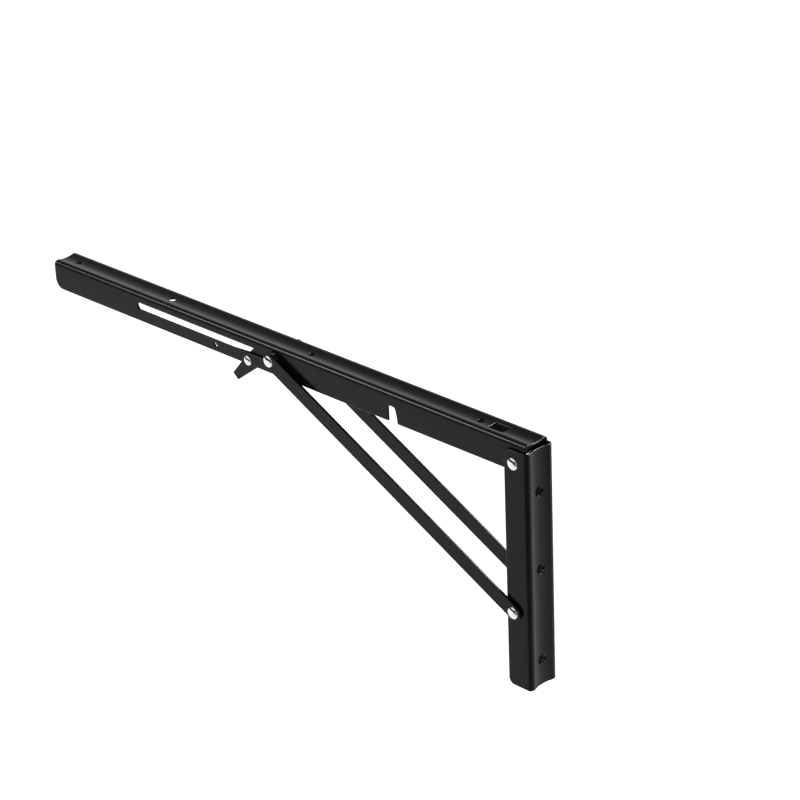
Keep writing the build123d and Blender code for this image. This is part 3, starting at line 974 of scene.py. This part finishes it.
material, tree, place, output = start_material("white_floor")
ray = add_node(tree, "ShaderNodeLightPath")
mirrored = add_node(tree, "ShaderNodeMath", None, {0: ray.outputs["Is Glossy Ray"]}, operation="MAXIMUM")
tree.links.new(ray.outputs["Is Transmission Ray"], mirrored.inputs[1])
pool_place = add_node(tree, "ShaderNodeMapping",
                      {"Location": -POOL_MIDDLE / POOL_RADIUS, "Scale": (1 / POOL_RADIUS,) * 3},
                      {"Vector": place})
pool = add_node(tree, "ShaderNodeTexGradient", None, {"Vector": pool_place.outputs["Vector"]},
                gradient_type="QUADRATIC_SPHERE")
across_floor = add_node(tree, "ShaderNodeSeparateXYZ", None, {"Vector": place})
base_glow = add_node(tree, "ShaderNodeMapRange",
                     {"From Min": REAR_GAIN_FROM, "From Max": REAR_GAIN_TO,
                      "To Min": FLOOR_MIRRORED, "To Max": FLOOR_MIRRORED + REAR_GAIN},
                     {"Value": across_floor.outputs["Y"]})
glow_there = add_node(tree, "ShaderNodeMath", {1: POOL},
                      {0: pool.outputs["Fac"], 2: base_glow.outputs["Result"]}, operation="MULTIPLY_ADD")
dim = add_node(tree, "ShaderNodeMath", None, {0: mirrored.outputs["Value"], 1: glow_there.outputs["Value"]},
               operation="MULTIPLY")
lift = add_node(tree, "ShaderNodeMath", {1: FLOOR_SEEN},
                {0: ray.outputs["Is Camera Ray"], 2: dim.outputs["Value"]}, operation="MULTIPLY_ADD")
lit = add_node(tree, "ShaderNodeBsdfDiffuse", {"Color": linear("#e6e6e6")})
glow = add_node(tree, "ShaderNodeEmission", {"Color": linear("#ffffff")}, {"Strength": lift.outputs["Value"]})
both = add_node(tree, "ShaderNodeAddShader", None, {0: lit.outputs["BSDF"], 1: glow.outputs["Emission"]})
tree.links.new(both.outputs["Shader"], output.inputs["Surface"])
floor.data.materials.append(material)

# %% [markdown]
# The room is the world's colour by direction, for reflections alone: a pale band at the horizon, a dark
# ceiling that is lighter at the rear left, and darkness below the floor's edge, which is lifted a little on
# the camera's side so that the leg's bend isn't quite black. The camera sees plain white, and matt surfaces
# get a soft even light.

# %% Hang the room round it
BELOW = 0.03
BELOW_NEAR = 0.42
HORIZON = 0.98
HORIZON_TOP = 0.25
HORIZON_FADE = 0.2
HORIZON_EDGE = 0.01
CEILING_REAR = 0.3
CEILING_FRONT = 0.04
REAR_FADE = (0.14, 0.36)
LEFT_FADE = (-0.05, -0.45)
CAMERA_SIDE_FADE = (0.75, 1.15)
AMBIENT = 0.35

world = bpy.data.worlds.new("studio")
bpy.context.scene.world = world
world.use_nodes = True
tree = world.node_tree
tree.nodes.clear()
way = add_node(tree, "ShaderNodeSeparateXYZ", None,
               {"Vector": add_node(tree, "ShaderNodeTexCoord").outputs["Generated"]})
to_rear = add_node(tree, "ShaderNodeMapRange", {"From Min": REAR_FADE[0], "From Max": REAR_FADE[1]},
                   {"Value": way.outputs["Y"]}, interpolation_type="SMOOTHSTEP")
to_left = add_node(tree, "ShaderNodeMapRange", {"From Min": LEFT_FADE[0], "From Max": LEFT_FADE[1]},
                   {"Value": way.outputs["X"]}, interpolation_type="SMOOTHSTEP")
rear_left = add_node(tree, "ShaderNodeMath", None,
                     {0: to_rear.outputs["Result"], 1: to_left.outputs["Result"]}, operation="MULTIPLY")
ceiling = add_node(tree, "ShaderNodeMapRange", {"To Min": CEILING_FRONT, "To Max": CEILING_REAR},
                   {"Value": rear_left.outputs["Value"]})
above = add_node(tree, "ShaderNodeMapRange",
                 {"From Min": HORIZON_TOP, "From Max": HORIZON_TOP + HORIZON_FADE},
                 {"Value": way.outputs["Z"]})
high = add_node(tree, "ShaderNodeMix", {"A": HORIZON}, {"Factor": above.outputs["Result"],
                                                       "B": ceiling.outputs["Result"]})
over = add_node(tree, "ShaderNodeMapRange", {"From Min": -HORIZON_EDGE, "From Max": HORIZON_EDGE},
                {"Value": way.outputs["Z"]})
camera_side = add_node(tree, "ShaderNodeMath", None, {0: way.outputs["X"], 1: way.outputs["Y"]},
                       operation="SUBTRACT")
below = add_node(tree, "ShaderNodeMapRange",
                 {"From Min": CAMERA_SIDE_FADE[0], "From Max": CAMERA_SIDE_FADE[1],
                  "To Min": BELOW, "To Max": BELOW_NEAR}, {"Value": camera_side.outputs["Value"]})
every_way = add_node(tree, "ShaderNodeMix", None, {"A": below.outputs["Result"], "B": high.outputs["Result"],
                                                   "Factor": over.outputs["Result"]})
ray = add_node(tree, "ShaderNodeLightPath")
room = add_node(tree, "ShaderNodeMix", {"A": AMBIENT}, {"Factor": ray.outputs["Is Glossy Ray"],
                                                       "B": every_way.outputs["Result"]})
shown = add_node(tree, "ShaderNodeMix", {"B": 1.0}, {"Factor": ray.outputs["Is Camera Ray"],
                                                    "A": room.outputs["Result"]})
background = add_node(tree, "ShaderNodeBackground", {"Color": linear("#ffffff")},
                      {"Strength": shown.outputs["Result"]})
add_node(tree, "ShaderNodeOutputWorld", None, {"Surface": background.outputs["Background"]})
print("horizon", HORIZON, "ceiling", CEILING_FRONT, "to", CEILING_REAR)

# %% [markdown]
# Two soft lamps draw the thin light lines. The first stands high at the front left, where the arm's bend
# mirrors it. The second stands high at the rear right, where the painted cut edges mirror it, and it is a
# card for reflections alone, so that it casts no second shadow.

# %% Set the lamps
def soft_lamp(name, way, distance, width, height, watts):
    """A rectangular lamp in a direction from the bracket's middle, facing it."""
    lamp = bpy.data.objects.new(name, bpy.data.lights.new(name, "AREA"))
    lamp.data.shape = "RECTANGLE"
    lamp.data.size = width
    lamp.data.size_y = height
    lamp.data.energy = watts
    direction = Vector(way).normalized()
    lamp.location = TARGET + direction * distance
    lamp.rotation_mode = "QUATERNION"
    lamp.rotation_quaternion = direction.to_track_quat("Z", "Y")
    lamp.visible_camera = False
    bpy.context.scene.collection.objects.link(lamp)
    return lamp


BEND_MIRRORS = (-0.633, -0.443, 0.633)
EDGES_MIRROR = (0.443, 0.633, 0.633)
soft_lamp("bend_light", BEND_MIRRORS, distance=4.0, width=1.3, height=1.3, watts=84)
strip = soft_lamp("rear_strip", EDGES_MIRROR, distance=1.8, width=1.4, height=0.45, watts=140)
strip.visible_diffuse = False
print("bend light at", BEND_MIRRORS, "and rear strip at", EDGES_MIRROR)

# %% [markdown]
# ## Finish
#
# The view transform stays at Standard, so that a colour renders as it is written.

# %% Finish
bpy.context.scene.view_settings.view_transform = "Standard"
